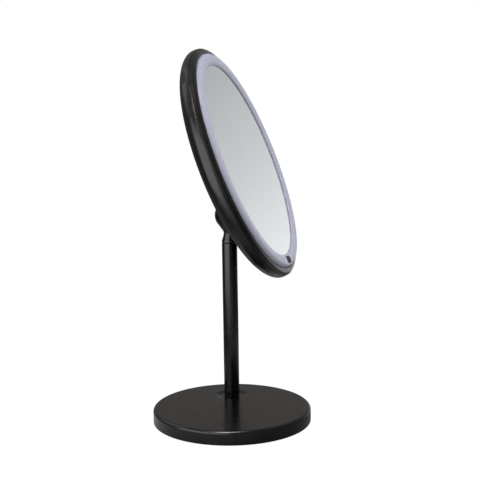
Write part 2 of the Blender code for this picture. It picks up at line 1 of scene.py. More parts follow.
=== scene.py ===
"""Looks of the lighted vanity mirror: fine surfaces, materials, studio light and camera.

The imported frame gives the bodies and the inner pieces. Shapes are in millimetres, in a local frame of their
own, and are placed in the row frame in metres. In the head's frame Z is the mirror's normal, Y is its top and
the origin is the centre of the plane where light ring and bezel meet.
"""

import math

import bmesh
import bpy
from mathutils import Matrix, Vector


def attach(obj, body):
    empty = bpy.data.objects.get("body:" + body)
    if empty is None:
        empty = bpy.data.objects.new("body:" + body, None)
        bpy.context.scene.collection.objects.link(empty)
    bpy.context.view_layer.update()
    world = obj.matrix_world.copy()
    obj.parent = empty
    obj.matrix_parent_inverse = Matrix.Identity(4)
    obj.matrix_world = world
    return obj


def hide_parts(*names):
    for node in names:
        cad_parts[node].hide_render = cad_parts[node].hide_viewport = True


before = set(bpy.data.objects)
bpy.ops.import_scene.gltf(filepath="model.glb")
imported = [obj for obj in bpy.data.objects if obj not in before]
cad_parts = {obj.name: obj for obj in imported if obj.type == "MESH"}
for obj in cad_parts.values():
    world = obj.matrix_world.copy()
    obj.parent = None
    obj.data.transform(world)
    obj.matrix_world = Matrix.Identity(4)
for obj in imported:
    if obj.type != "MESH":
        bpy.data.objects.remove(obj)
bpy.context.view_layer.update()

MM = 0.001
GAP = 0.3
ROUND = 256
SMALL_ROUND = 96
SHARP = math.radians(35)

# Stand
BASE_RADIUS = 65.9
BASE_HEIGHT = 12.0
BASE_WALL = 2.0
BASE_FILLET = 2.4
DIMPLE_RADIUS = 13.8
DIMPLE_DEPTH = 1.0
PAD_THICKNESS = 2.0
BORE_RADIUS = 3.3
POLE_SPOT = (32.2, 7.3)
POLE_RADIUS = 6.5
POLE_WALL = 1.2
POLE_TOP = 145.5
SHANK_RADIUS = 3.0

# Ball joint
BALL_HEIGHT = 168.9
BALL_RADIUS = 12.1
NECK_RADIUS = 4.8
NECK_LOW = -14.7
SEAT_RADII = (12.5, 13.4)
SOCKET_RADIUS = 13.7
COLLAR_RADIUS = 15.8
COLLAR_LIP = 4.2
COLLAR_FLARE = 3.0
NOTCH_RADIUS = 10.6
NOTCH_DROP = 2.0

# Head: how it leans back and to the side, and where its origin is from the ball
HEAD_TILT = 21.9
HEAD_LEAN = -7.2
HEAD_REACH = 32.1
HEAD_RISE = 36.9

GLASS_RADIUS = 86.2
GLASS_FACE = 0.9
GLASS_THICKNESS = 2.0
RING_INNER = 84.4
RING_LIP = 85.6
RING_LIP_FACE = 1.35
RING_WALL = 86.6
RING_CREST = 91.4
RING_CREST_FACE = 3.1
RING_OUTER = 95.2
RING_SKIN = 1.6
RING_CLEARANCE = 0.01
BEZEL_OUTER = 100.9
PARTING = -3.4
PARTING_GAP = 0.3
SHELL_RADIUS = 101.4
SHELL_WIDEST = -6.7
SHELL_FLAT = 71.6
SHELL_BACK = -20.7
SHELL_WALL = 2.0
CLAMP_CIRCLE = 19.5
FRAME_BOSS_CIRCLE = 68.0
TOUCH_SIZE = (12.5, 5.8, 2.89)
TOUCH_RADIUS = 89.3
PORT_CLOCK = -43.2
PORT_HEIGHT = -10.4
PORT_SIZE = (14.5, 4.75, 1.5)
PORT_THICKNESS = 1.6

POLE = Matrix.Translation((POLE_SPOT[0] * MM, POLE_SPOT[1] * MM, 0))
BALL = POLE @ Matrix.Translation((0, 0, BALL_HEIGHT * MM))
UPRIGHT = Matrix.Rotation(math.radians(90), 4, "X")
SEAT = BALL @ Matrix.Rotation(-math.radians(HEAD_TILT), 4, "X") @ UPRIGHT
HEAD_BALL = SEAT @ Matrix.Rotation(math.radians(HEAD_LEAN), 4, "Z")
HEAD = HEAD_BALL @ Matrix.Translation((0, HEAD_RISE * MM, HEAD_REACH * MM))


# ---------------------------------------------------------------- outlines and meshes


def arc(centre, radii, start, end, steps):
    """Points on an ellipse arc from start to end degrees, both ends included."""
    points = []
    for i in range(steps + 1):
        angle = math.radians(start + (end - start) * i / steps)
        points.append((centre[0] + radii[0] * math.cos(angle), centre[1] + radii[1] * math.sin(angle)))
    return points


def eased(corners, radius, steps=4):
    """Open outline through the corners, each inner corner rounded to about the given radius."""
    points = [Vector(corners[0])]
    for before, corner, after in zip(corners, corners[1:], corners[2:]):
        corner = Vector(corner)
        back, ahead = Vector(before) - corner, Vector(after) - corner
        reach = min(radius, back.length * 0.45, ahead.length * 0.45)
        start = corner + back.normalized() * reach
        end = corner + ahead.normalized() * reach
        for k in range(steps + 1):
            t = k / steps
            points.append(start * (1 - t) ** 2 + corner * 2 * t * (1 - t) + end * t**2)
    points.append(Vector(corners[-1]))
    return [tuple(p) for p in points]


def rounded_rectangle(width, height, radius, steps=8):
    """Closed outline of a rectangle with rounded corners, centred on the origin."""
    points = []
    for i, (sx, sy) in enumerate(((1, 1), (-1, 1), (-1, -1), (1, -1))):
        corner = (sx * (width / 2 - radius), sy * (height / 2 - radius))
        points += arc(corner, (radius, radius), 90 * i, 90 * i + 90, steps)
    return points


def clock(degrees, radius):
    """Point on a circle, by an angle from the top towards +X."""
    angle = math.radians(degrees)
    return (radius * math.sin(angle), radius * math.cos(angle))


def ring_loop(bm, radius, height, segments, centre=(0, 0)):
    """Circle of vertices."""
    x, y = centre
    turns = [2 * math.pi * i / segments for i in range(segments)]
    return [bm.verts.new((x + radius * math.cos(a), y + radius * math.sin(a), height)) for a in turns]


def join_loops(bm, low, high):
    """Band of faces between two circles with as many vertices each."""
    count = len(low)
    for i in range(count):
        k = (i + 1) % count
        bm.faces.new((low[i], low[k], high[k], high[i]))


def crossing(bm, outer, inner, centre):
    """Circles on a flat face between a circle round the axis and a smaller one round another centre."""
    loops = []
    for t in (0.03, 0.25, 0.5, 0.75, 0.95):
        radius = outer[0] + (inner[0] - outer[0]) * t
        loops.append(ring_loop(bm, radius, outer[1], ROUND, (centre[0] * t, centre[1] * t)))
    return loops


def cap(bm, loop, point):
    """Fan of triangles from a circle to a point on its axis."""
    tip = bm.verts.new(point)
    for a, b in zip(loop, loop[1:] + loop[:1]):
        bm.faces.new((a, b, tip))


def turned(outline, segments=ROUND):
    """Mesh of an outline turned about Z: closed on itself, or from a point on the axis to another."""
    bm = bmesh.new()
    if outline[0][0] == 0:
        loops = [ring_loop(bm, r, z, segments) for r, z in outline[1:-1]]
        cap(bm, loops[0], (0, 0, outline[0][1]))
        cap(bm, loops[-1], (0, 0, outline[-1][1]))
    else:
        loops = [ring_loop(bm, r, z, segments) for r, z in outline]
        join_loops(bm, loops[-1], loops[0])
    for low, high in zip(loops, loops[1:]):
        join_loops(bm, low, high)
    return bm


def extruded(outline, low, high):
    """Mesh of a closed XY outline raised from one height to another."""
    bm = bmesh.new()
    bottom = bm.faces.new([bm.verts.new((x, y, low)) for x, y in outline])
    for item in bmesh.ops.extrude_face_region(bm, geom=[bottom])["geom"]:
        if isinstance(item, bmesh.types.BMVert):
            item.co.z = high
    return bm


def made(name, bm, matrix):
    """Object from a mesh in millimetres, its mesh placed by a matrix so that the object is at the origin."""
    bmesh.ops.recalc_face_normals(bm, faces=bm.faces)
    mesh = bpy.data.meshes.new(name)
    bm.to_mesh(mesh)
    bm.free()
    mesh.transform(matrix @ Matrix.Scale(MM, 4))
    mesh.shade_smooth()
    mesh.set_sharp_from_angle(angle=SHARP)
    thing = bpy.data.objects.new(name, mesh)
    bpy.context.scene.collection.objects.link(thing)
    return thing


def cut(target, bm, matrix, operation="DIFFERENCE"):
    """Boolean of a piece with a mesh in millimetres, applied at once."""
    guide = made("guide", bm, matrix)
    modifier = target.modifiers.new("cut", "BOOLEAN")
    modifier.object = guide
    modifier.operation = operation
    modifier.solver = "EXACT"
    shaped = target.evaluated_get(bpy.context.evaluated_depsgraph_get())
    mesh = bpy.data.meshes.new_from_object(shaped)
    target.modifiers.clear()
    old = target.data
    target.data = mesh
    mesh.name = old.name
    bpy.data.meshes.remove(old)
    bpy.data.objects.remove(guide)
    mesh.shade_smooth()
    mesh.set_sharp_from_angle(angle=SHARP)


def piece(thing, body, finish, slot, *nodes):
    """Gives a piece its material and its body, and hides the CAD nodes that it stands for."""
    thing.data.materials.clear()
    thing.data.materials.append(finish)
    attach(thing, body)
    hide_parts(*nodes)


# ---------------------------------------------------------------- materials


class Finish:
    """Principled material with small helpers for its procedural detail."""

    def __init__(self, name, colour, roughness, metallic=0.0, specular=0.5):
        self.material = bpy.data.materials.new(name)
        self.material.use_nodes = True
        self.tree = self.material.node_tree
        self.shader = self.tree.nodes["Principled BSDF"]
        self.colour = colour
        self.roughness = roughness
        self.place = self.tree.nodes.new("ShaderNodeTexCoord").outputs["Object"]
        self.set("Base Color", (*colour, 1.0))
        self.set("Roughness", roughness)
        self.set("Metallic", metallic)
        self.set("Specular IOR Level", specular)
        self.normal = None

    def set(self, socket, value):
        """Constant on one of the shader's own sockets."""
        self.shader.inputs[socket].default_value = value

    def link(self, output, target):
        """Connection between two sockets."""
        self.tree.links.new(output, target)

    def noise(self, scale, detail=3.0, stretch=(1, 1, 1)):
        """Noise from 0 to 1 with features of about 1/scale metres, stretched along an axis if asked."""
        mapping = self.tree.nodes.new("ShaderNodeMapping")
        mapping.inputs["Scale"].default_value = stretch
        self.link(self.place, mapping.inputs["Vector"])
        node = self.tree.nodes.new("ShaderNodeTexNoise")
        node.inputs["Scale"].default_value = scale
        node.inputs["Detail"].default_value = detail
        node.inputs["Roughness"].default_value = 0.55
        self.link(mapping.outputs["Vector"], node.inputs["Vector"])
        return node.outputs["Fac"]

    def remap(self, value, low, high, source=(0.3, 0.7)):
        """Value rescaled from its source range to low..high."""
        node = self.tree.nodes.new("ShaderNodeMapRange")
        for name, number in zip(("From Min", "From Max", "To Min", "To Max"), (*source, low, high)):
            node.inputs[name].default_value = number
        self.link(value, node.inputs["Value"])
        return node.outputs["Result"]

    def mix(self, factor, first, second):
        """Mix of two colours, each a socket or a constant."""
        node = self.tree.nodes.new("ShaderNodeMix")
        node.data_type = "RGBA"
        self.link(factor, node.inputs["Factor"])
        for index, colour in ((6, first), (7, second)):
            if isinstance(colour, bpy.types.NodeSocket):
                self.link(colour, node.inputs[index])
            else:
                node.inputs[index].default_value = (*colour, 1.0)
        return node.outputs[2]

    def mottle(self, scale, amount, wear=0.0):
        """Colour varied by noise, and lighter on worn convex edges."""
        dark = [c * (1 - amount) for c in self.colour]
        light = [min(1.0, c * (1 + amount)) for c in self.colour]
        colour = self.mix(self.remap(self.noise(scale), 0.0, 1.0), dark, light)
        if wear:
            point = self.tree.nodes.new("ShaderNodeNewGeometry").outputs["Pointiness"]
            edge = self.remap(point, 0.0, wear, (0.53, 0.62))
            worn = [min(1.0, c * 3 + 0.004) for c in self.colour]
            colour = self.mix(edge, colour, worn)
        self.link(colour, self.shader.inputs["Base Color"])
        return self

    def gloss(self, scale, amount, stretch=(1, 1, 1)):
        """Roughness varied by noise."""
        value = self.remap(self.noise(scale, 4.0, stretch), self.roughness - amount, self.roughness + amount)
        self.link(value, self.shader.inputs["Roughness"])
        return self

    def grain(self, scale, depth, stretch=(1, 1, 1), detail=2.0):
        """Bump of noise whose depth is in millimetres, on top of any bump made before."""
        node = self.tree.nodes.new("ShaderNodeBump")
        node.inputs["Strength"].default_value = 1.0
        node.inputs["Distance"].default_value = depth * MM
        self.link(self.noise(scale, detail, stretch), node.inputs["Height"])
        if self.normal:
            self.link(self.normal, node.inputs["Normal"])
        self.normal = node.outputs["Normal"]
        self.link(self.normal, self.shader.inputs["Normal"])
        return self


def satin_paint():
    """Satin black powder paint on the stand: fine orange peel and slight handling marks."""
    finish = Finish("satin_paint", (0.0021, 0.0018, 0.0017), 0.22)
    finish.mottle(60, 0.12, wear=0.5).gloss(140, 0.05)
    return finish.grain(2600, 0.0015).material


def shell_plastic():
    """Moulded black plastic of the head, with a fine spark-eroded texture."""
    finish = Finish("shell_plastic", (0.0021, 0.0018, 0.0018), 0.3)
    finish.mottle(45, 0.12, wear=0.4).gloss(110, 0.05)
    return finish.grain(3200, 0.001).material


def inner_plastic():
    """Plain black plastic inside the head."""
    finish = Finish("inner_plastic", (0.02, 0.02, 0.021), 0.5)
    return finish.mottle(70, 0.15).gloss(150, 0.08).grain(1800, 0.02).material


def opal_plastic():
    """Light diffuser, unlit: cool grey, slightly translucent, with a soft skin gloss."""
    finish = Finish("opal_plastic", (0.52, 0.53, 0.66), 0.45, specular=0.25)
    return finish.mottle(90, 0.02).gloss(160, 0.04).grain(500, 0.0008).material


def mirror_silver():
    """Silvered glass, almost clean: a faint greenish cast and the slightest smears."""
    finish = Finish("mirror_silver", (0.86, 0.885, 0.89), 0.015, 1.0)
    finish.mottle(25, 0.01)
    smear = finish.remap(finish.noise(40, 4.0, (1, 0.4, 1)), 0.01, 0.035, (0.45, 0.8))
    finish.link(smear, finish.shader.inputs["Roughness"])
    return finish.material


def charcoal_key():
    """Matt charcoal touch key with a sanded feel."""
    finish = Finish("charcoal_key", (0.04, 0.039, 0.037), 0.6, specular=0.12)
    return finish.mottle(500, 0.15).gloss(500, 0.05).grain(2500, 0.01).material


def soft_rubber():
    """Matt black rubber with a dusty bloom."""
    finish = Finish("soft_rubber", (0.009, 0.009, 0.0095), 0.6, specular=0.3)
    return finish.mottle(500, 0.25, wear=0.3).gloss(350, 0.08).grain(2400, 0.03).material


def dense_foam():
    """Closed-cell foam: small cells and a dull skin."""
    finish = Finish("dense_foam", (0.025, 0.025, 0.027), 0.9, specular=0.2)
    return finish.mottle(900, 0.35).grain(1400, 0.25, detail=1.0).material


def raw_iron():
    """Sand-cast iron with rough skin and rust-brown flecks."""
    finish = Finish("raw_iron", (0.15, 0.15, 0.155), 0.65, 1.0)
    fleck = finish.remap(finish.noise(240, 5.0), 0.0, 0.6, (0.56, 0.7))
    colour = finish.mix(fleck, (0.15, 0.15, 0.155), (0.13, 0.07, 0.045))
    finish.link(colour, finish.shader.inputs["Base Color"])
    return finish.gloss(120, 0.12).grain(700, 0.12, detail=5.0).material


def plated_steel():
    """Zinc-plated steel with fine machining lines round its axis and duller patches."""
    finish = Finish("plated_steel", (0.58, 0.59, 0.6), 0.32, 1.0)
    finish.mottle(350, 0.12, wear=0.3).gloss(500, 0.1, (1, 1, 6))
    return finish.grain(1500, 0.008, (1, 1, 8)).material


def blue_spring():
    """Tempered spring steel, straw and blue tinted."""
    finish = Finish("blue_spring", (0.3, 0.31, 0.36), 0.28, 1.0)
    tint = finish.remap(finish.noise(220, 3.0), 0.0, 1.0, (0.35, 0.65))
    finish.link(finish.mix(tint, (0.22, 0.25, 0.36), (0.4, 0.36, 0.28)), finish.shader.inputs["Base Color"])
    return finish.gloss(300, 0.08).grain(1800, 0.006).material


def natural_acetal():
    """Off-white acetal with faint flow marks, slightly waxy."""
    finish = Finish("natural_acetal", (0.76, 0.75, 0.69), 0.4)
    finish.set("Subsurface Weight", 0.15)
    finish.set("Subsurface Radius", (0.002, 0.002, 0.0015))
    return finish.mottle(180, 0.05).gloss(260, 0.07, (1, 1, 3)).grain(800, 0.01).material


def circuit_board(name, colour, track):
    """Solder mask over copper tracks: square cells with lighter lines, and a bump over the copper."""
    finish = Finish(name, colour, 0.42)
    cells = finish.tree.nodes.new("ShaderNodeTexBrick")
    cells.inputs["Scale"].default_value = 260
    cells.inputs["Mortar Size"].default_value = 0.06
    cells.inputs["Color1"].default_value = (*colour, 1.0)
    cells.inputs["Color2"].default_value = (*[c * 0.85 for c in colour], 1.0)
    cells.inputs["Mortar"].default_value = (*track, 1.0)
    finish.link(finish.place, cells.inputs["Vector"])
    finish.link(cells.outputs["Color"], finish.shader.inputs["Base Color"])
    bump = finish.tree.nodes.new("ShaderNodeBump")
    bump.inputs["Distance"].default_value = 0.03 * MM
    finish.link(cells.outputs["Fac"], bump.inputs["Height"])
    finish.normal = bump.outputs["Normal"]
    return finish.gloss(400, 0.08).grain(2500, 0.01).material


def pouch_foil():
    """Aluminium pouch foil of the battery, lightly crinkled."""
    finish = Finish("pouch_foil", (0.66, 0.68, 0.7), 0.34, 0.8)
    return finish.mottle(120, 0.08).gloss(220, 0.1).grain(160, 0.12, detail=4.0).material


def wire_sheath():
    """Soft red insulation of the leads."""
    finish = Finish("wire_sheath", (0.36, 0.03, 0.025), 0.45)
    return finish.mottle(400, 0.12).gloss(600, 0.08).grain(1800, 0.015).material


# ---------------------------------------------------------------- stand


def base_surfaces(paint, foam):
    """Base cover with its rounded rim and the dished seat of the pole, and the foam foot under it."""
    bm = bmesh.new()
    skirt = 0.5
    under = BASE_HEIGHT - BASE_WALL
    corner = (BASE_RADIUS - BASE_FILLET, BASE_HEIGHT - BASE_FILLET)
    floor = BASE_HEIGHT - DIMPLE_DEPTH
    dish = POLE_RADIUS + 0.6
    side = eased([(BASE_RADIUS - BASE_WALL, skirt + 2), (BASE_RADIUS - BASE_WALL, skirt),
                  (BASE_RADIUS, skirt), (BASE_RADIUS, skirt + 2)], 0.5)
    side += arc(corner, (BASE_FILLET, BASE_FILLET), 0, 90, 14)
    seat = eased([(DIMPLE_RADIUS + 2.5, BASE_HEIGHT), (DIMPLE_RADIUS, BASE_HEIGHT),
                  (DIMPLE_RADIUS - 4.4, floor), (dish, floor)], 1.6, 8)
    seat += eased([(BORE_RADIUS + 1, floor), (BORE_RADIUS, floor), (BORE_RADIUS, under - DIMPLE_DEPTH),
                   (BORE_RADIUS + 1, under - DIMPLE_DEPTH)], 0.3, 2)
    seat += [(DIMPLE_RADIUS + 1, under - DIMPLE_DEPTH), (DIMPLE_RADIUS + 1.01, under)]
    inside = arc((BASE_RADIUS - BASE_WALL - 1.4, under - 1.4), (1.4, 1.4), 90, 0, 6)
    loops = [ring_loop(bm, r, z, ROUND) for r, z in side]
    loops += crossing(bm, side[-1], seat[0], POLE_SPOT)
    loops += [ring_loop(bm, r, z, ROUND, POLE_SPOT) for r, z in seat]
    loops += crossing(bm, inside[0], seat[-1], POLE_SPOT)[::-1]
    loops += [ring_loop(bm, r, z, ROUND) for r, z in inside]
    for low, high in zip(loops, loops[1:] + loops[:1]):
        join_loops(bm, low, high)
    piece(made("base_cover_surface", bm, Matrix()), "stand", paint, "satin_black", "base_cover")

    radius = BASE_RADIUS - BASE_WALL - GAP
    edge = [(radius - 3, 0), (radius, 0), (radius, PAD_THICKNESS), (radius - 3, PAD_THICKNESS)]
    outline = [(0, 0)] + eased(edge, 0.7) + [(0, PAD_THICKNESS)]
    piece(made("foot_pad_surface", turned(outline), Matrix()), "stand", foam, "foam", "foot_pad")


def pole_surface(paint):
    """Straight tube with a rounded top edge."""
    foot = BASE_HEIGHT - DIMPLE_DEPTH + GAP
    inner = POLE_RADIUS - POLE_WALL
    middle = 80
    below = POLE_TOP - 4
    top = [(POLE_RADIUS, below), (POLE_RADIUS, POLE_TOP), (inner, POLE_TOP), (inner, below)]
    outline = eased([(inner, middle), (inner, foot), (POLE_RADIUS, foot), (POLE_RADIUS, middle)], 0.3, 3)
    outline += eased(top, 0.8, 6)
    tube = made("pole_tube_surface", turned(outline, SMALL_ROUND), POLE)
    piece(tube, "stand", paint, "satin_black", "pole_tube")


def stud_surface(paint):
    """Ball, waisted neck, cone foot and the shank that turns in the pole, all one turned piece."""
    foot = POLE_TOP + 0.4 - BALL_HEIGHT
    tip = POLE_TOP - 28.6 - BALL_HEIGHT
    groove = (tip + 0.6, tip + 2.2)
    shank = [(1, tip), (SHANK_RADIUS, tip), (SHANK_RADIUS, groove[0]), (2.2, groove[0]), (2.2, groove[1])]
    shank += [(SHANK_RADIUS, groove[1]), (SHANK_RADIUS, foot)]
    cone = [(POLE_RADIUS, foot), (POLE_RADIUS + 0.05, foot + 0.9), (6.3, foot + 2.0)]
    outline = [(0, tip)] + eased(shank + cone, 0.35, 3)
    outline += eased([(6.2, foot + 2.2), (5.2, NECK_LOW - 3.1), (NECK_RADIUS, NECK_LOW - 1.2),
                      (NECK_RADIUS, NECK_LOW + 0.5), (NECK_RADIUS + 0.9, NECK_LOW + 1.9)], 1.2, 6)
    outline += arc((0, 0), (BALL_RADIUS, BALL_RADIUS), -43, 89, 44) + [(0, BALL_RADIUS)]
    stud = made("ball_stud_surface", turned(outline, SMALL_ROUND), BALL)
    piece(stud, "swivel", paint, "satin_black", "ball_stud")


def seat_surface(acetal):
    """C-shaped friction seat round the ball, open below for the neck."""
    inner, outer = SEAT_RADII
    heights = (-(COLLAR_LIP - 0.4), 6.0)
    turns = [[math.degrees(math.asin(h / r)) for h in heights] for r in (inner, outer)]
    outline = arc((0, 0), (outer, outer), *turns[1], 14)
    outline += arc((0, 0), (inner, inner), turns[0][1], turns[0][0], 14)
    seat = made("ball_seat_surface", turned(outline, SMALL_ROUND), SEAT)
    reach = outer + 2
    opening = extruded(rounded_rectangle(17.6, reach, 0.5), -8, 8)
    cut(seat, opening, SEAT @ Matrix.Translation((0, -(reach / 2 + 2) * MM, 0)))
    piece(seat, "seat", acetal, "acetal", "ball_seat")


# ---------------------------------------------------------------- head


def shell_curve(inset, start, end, steps):
    """Rounded back of the rear cover, or its inside at the wall's inset."""
    radii = (SHELL_RADIUS - SHELL_FLAT - inset, SHELL_WIDEST - SHELL_BACK - inset)
    return arc((SHELL_FLAT, SHELL_WIDEST), radii, start, end, steps)


def rear_cover_surface(plastic):
    """Dished shell whose flat back runs into the ball's collar, with notch, port opening and screw bosses."""
    bm = bmesh.new()
    rim = PARTING - PARTING_GAP / 2
    inside = SHELL_BACK + SHELL_WALL
    centre = (0, -HEAD_RISE)
    back = SHELL_BACK + HEAD_REACH
    lip = math.sqrt(SOCKET_RADIUS**2 - COLLAR_LIP**2)
    outline = eased([(SHELL_RADIUS - 2.6, rim - 1), (SHELL_RADIUS - 2.4, rim), (SHELL_RADIUS - 0.3, rim),
                     (SHELL_RADIUS - 0.1, rim - 1.2)], 0.1, 4)
    outline += shell_curve(0, -3, -90, 40)
    loops = [ring_loop(bm, r, z, ROUND) for r, z in outline]
    flare = (COLLAR_RADIUS + COLLAR_FLARE, back - COLLAR_FLARE)
    edge = [(COLLAR_RADIUS, 2), (COLLAR_RADIUS, -COLLAR_LIP), (lip, -COLLAR_LIP), (lip + 0.2, -3.4)]
    collar = arc(flare, (COLLAR_FLARE, COLLAR_FLARE), 90, 180, 10) + eased(edge, 0.8, 6)
    collar += arc((0, 0), (SOCKET_RADIUS, SOCKET_RADIUS), -10, 0, 4) + [(SOCKET_RADIUS, inside + HEAD_REACH)]
    collar_loops = [ring_loop(bm, r, z - HEAD_REACH, ROUND, centre) for r, z in collar]
    flats = crossing(bm, (SHELL_FLAT, SHELL_BACK), collar[0], centre)
    inner_flats = crossing(bm, (SHELL_FLAT, inside), collar[-1], centre)[::-1]
    inner_loops = [ring_loop(bm, r, z, ROUND) for r, z in shell_curve(SHELL_WALL, -90, 0, 24)]
    every = loops + flats + collar_loops + inner_flats + inner_loops
    for low, high in zip(every, every[1:] + every[:1]):
        join_loops(bm, low, high)
    cover = made("rear_cover_surface", bm, HEAD)

    width, height, radius = (size + 2 * GAP for size in PORT_SIZE)
    turn = Matrix.Rotation(-math.radians(PORT_CLOCK), 4, "Z") @ Matrix.Rotation(-math.radians(90), 4, "X")
    port = HEAD @ Matrix.Translation((0, 0, PORT_HEIGHT * MM)) @ turn
    cut(cover, extruded(rounded_rectangle(width, height, radius - GAP), 90, 106), port)
    notch = arc((0, -NOTCH_DROP), (NOTCH_RADIUS, NOTCH_RADIUS), 0, 180, 48)
    notch += [(-NOTCH_RADIUS, -14), (NOTCH_RADIUS, -14)]
    cut(cover, extruded(notch, 0, 24), HEAD_BALL @ UPRIGHT)

    clamp = [(x, y - HEAD_RISE) for x, y in (clock(120 * i, CLAMP_CIRCLE) for i in range(3))]
    frame_screws = [clock(90 * i, FRAME_BOSS_CIRCLE) for i in range(4)]
    for spots, size, high, depth in ((clamp, 3.4, -16.4, 2.9), (frame_screws, 3.6, -4.8, 11.0)):
        for x, y in spots:
            spot = HEAD @ Matrix.Translation((x * MM, y * MM, 0))
            low = inside - 0.5
            cut(cover, turned([(0, low), (size, low), (size, high), (0, high)], 32), spot, "UNION")
            bore = [(0, high - depth), (1.8, high - depth), (1.8, high + 1), (0, high + 1)]
            cut(cover, turned(bore, 24), spot)
    piece(cover, "head", plastic, "head_black", "rear_cover")


def bezel_surface(plastic):
    """Front rim: flared outer face, lip over the light ring, and a spigot into the rear cover."""
    lip = RING_OUTER + GAP
    low = PARTING + PARTING_GAP / 2
    outline = eased([(lip + 0.1, low), (lip, low), (lip, 0), (lip + 0.9, 0.02)], 0.35, 4)
    inner_edge, outer_edge = Vector((lip + 1.1, 0.0)), Vector((BEZEL_OUTER, low + 0.4))
    crown = ((inner_edge + outer_edge) / 2).lerp(Vector((BEZEL_OUTER, 0.0)), 0.3)
    outline += eased([inner_edge, crown, outer_edge], 3.0, 12)
    outline += eased([(BEZEL_OUTER, low + 0.1), (BEZEL_OUTER - 0.08, low), (98.6, low), (98.6, -7.6),
                      (97.6, -7.6), (97.6, low)], 0.1, 3)
    piece(made("front_bezel_surface", turned(outline), HEAD), "head", plastic, "head_black", "front_bezel")


def ring_face(lift=0.0):
    """Face of the light ring, from the foot of its inner lip over the crest to its outer edge."""
    bend = RING_OUTER - RING_CREST
    foot = GLASS_FACE + RING_CLEARANCE
    face = eased([(RING_INNER + 1, foot), (RING_INNER, foot), (RING_INNER + 0.05, RING_LIP_FACE),
                  (RING_LIP, 2.15), (RING_LIP + 1, 2.65), (RING_LIP + 2, 2.92),
                  (RING_LIP + 3.4, RING_CREST_FACE), (RING_CREST, RING_CREST_FACE)], 0.2, 4)
    face += arc((RING_CREST, RING_CREST_FACE - bend), (bend, bend), 86, 0, 20)
    return [(r, z + lift) for r, z in face]


def ring_surfaces(opal, charcoal):
    """Opal light ring, open at the back, and the matt touch key set flush in its lower part."""
    flange, foot, wall, inner_foot = PARTING - 0.2, -4.9, 1.5, -3.1
    roof = RING_CREST_FACE - RING_SKIN
    outline = [(RING_WALL, inner_foot), (RING_WALL, GLASS_FACE + RING_CLEARANCE)] + ring_face()
    outline += eased([(RING_OUTER, flange + 0.5), (RING_OUTER, flange), (97.2, flange), (97.2, foot),
                      (RING_OUTER - wall, foot)], 0.2, 2)
    outline += [(RING_OUTER - wall, -0.4), (RING_CREST, roof), (RING_WALL + wall, roof)]
    outline += [(RING_WALL + wall, inner_foot)]
    ring = made("light_ring_surface", turned(outline), HEAD)
    spot = HEAD @ Matrix.Translation((0, -TOUCH_RADIUS * MM, 0))
    width, height, radius = TOUCH_SIZE
    cut(ring, extruded(rounded_rectangle(width + 2 * GAP, height + 2 * GAP, radius + GAP, 24), 0, 8), spot)
    piece(ring, "head", opal, "opal", "light_ring")

    key = made("touch_key_surface", extruded(rounded_rectangle(width, height, radius, 24), 0.4, 6), spot)
    face = ring_face(0.1)
    cut(key, turned([(face[-1][0], -3), (face[0][0], -3)][::-1] + face, 512), HEAD, "INTERSECT")
    piece(key, "head", charcoal, "charcoal", "touch_key")


def glass_surface(silver):
    """Round mirror with ground edges."""
    back = GLASS_FACE - GLASS_THICKNESS
    outline = [(0, back)] + eased([(GLASS_RADIUS - 3, back), (GLASS_RADIUS, back), (GLASS_RADIUS, GLASS_FACE),
                                   (GLASS_RADIUS - 3, GLASS_FACE)], 0.4, 4)
    outline += [(GLASS_RADIUS / 2, GLASS_FACE), (0, GLASS_FACE)]
    piece(made("mirror_glass_surface", turned(outline), HEAD), "head", silver, "mirror", "mirror_glass")


def port_cover_surface(rubber):
    """Rubber cover that fills the port's opening, following the shell's curve."""
    width, height, radius = PORT_SIZE
    turn = Matrix.Rotation(-math.radians(PORT_CLOCK), 4, "Z") @ Matrix.Rotation(-math.radians(90), 4, "X")
    port = HEAD @ Matrix.Translation((0, 0, PORT_HEIGHT * MM)) @ turn
    cover = made("port_cover_surface", extruded(rounded_rectangle(width, height, radius, 12), 92, 104), port)
    skin = shell_curve(0.05, -6, -62, 40) + shell_curve(PORT_THICKNESS, -62, -6, 40)
    cut(cover, turned(skin, 1024), HEAD, "INTERSECT")
    piece(cover, "port_flap", rubber, "rubber", "port_cover")


# ---------------------------------------------------------------- carried-over nodes


def carried_over(finishes):
    """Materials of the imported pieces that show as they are."""
    for finish, nodes in finishes:
        for node in nodes:
            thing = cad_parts[node]
            thing.data.materials.clear()
            thing.data.materials.append(finish)


# ---------------------------------------------------------------- stage


# White panel: the side it is on and its spread as cosines; panel and room by height, grey and how much bluer
PANEL_SIDE = Vector((0.961, -0.276, 0.0))
PANEL_SPREAD = (0.86, 0.97)
PANEL = ((0.0, 0.5, 0.0), (0.483, 0.95, 0.0), (0.491, 0.9, 0.004), (0.521, 0.68, 0.008),
         (0.556, 0.5, 0.012), (0.63, 0.3, 0.01), (0.8, 0.3, 0.0), (1.0, 0.4, 0.0))
ROOM = ((0.0, 0.06, 0.0), (0.5, 0.1, 0.0), (0.62, 0.27, -0.012), (0.72, 0.2, -0.006), (1.0, 0.3, 0.0))

# Floor: radius in millimetres; glow by metres from its darkest point, a painted shadow of the base that
# glossy faces see; front glow, a painted brighter band towards the camera, from one X to another
FLOOR_RADIUS = 450
FLOOR_DUSK = Vector((0.01, -0.06, 0.0))
FLOOR_GLOW = ((0.07, 0.14), (0.105, 0.28), (0.14, 0.5), (0.2, 0.16), (0.4, 0.1))
FLOOR_WHITE = 1.0
FRONT_GLOW = (-0.15, -0.35, 0.8)

# Camera: place in metres, lens in millimetres, angles in degrees
CAMERA_SPOT = (-1.0191, -0.2331, 0.3490)
CAMERA_LENS = 97.5
CAMERA_HEADING = 12.41
CAMERA_PITCH = -10.59
CAMERA_ROLL = 0.82


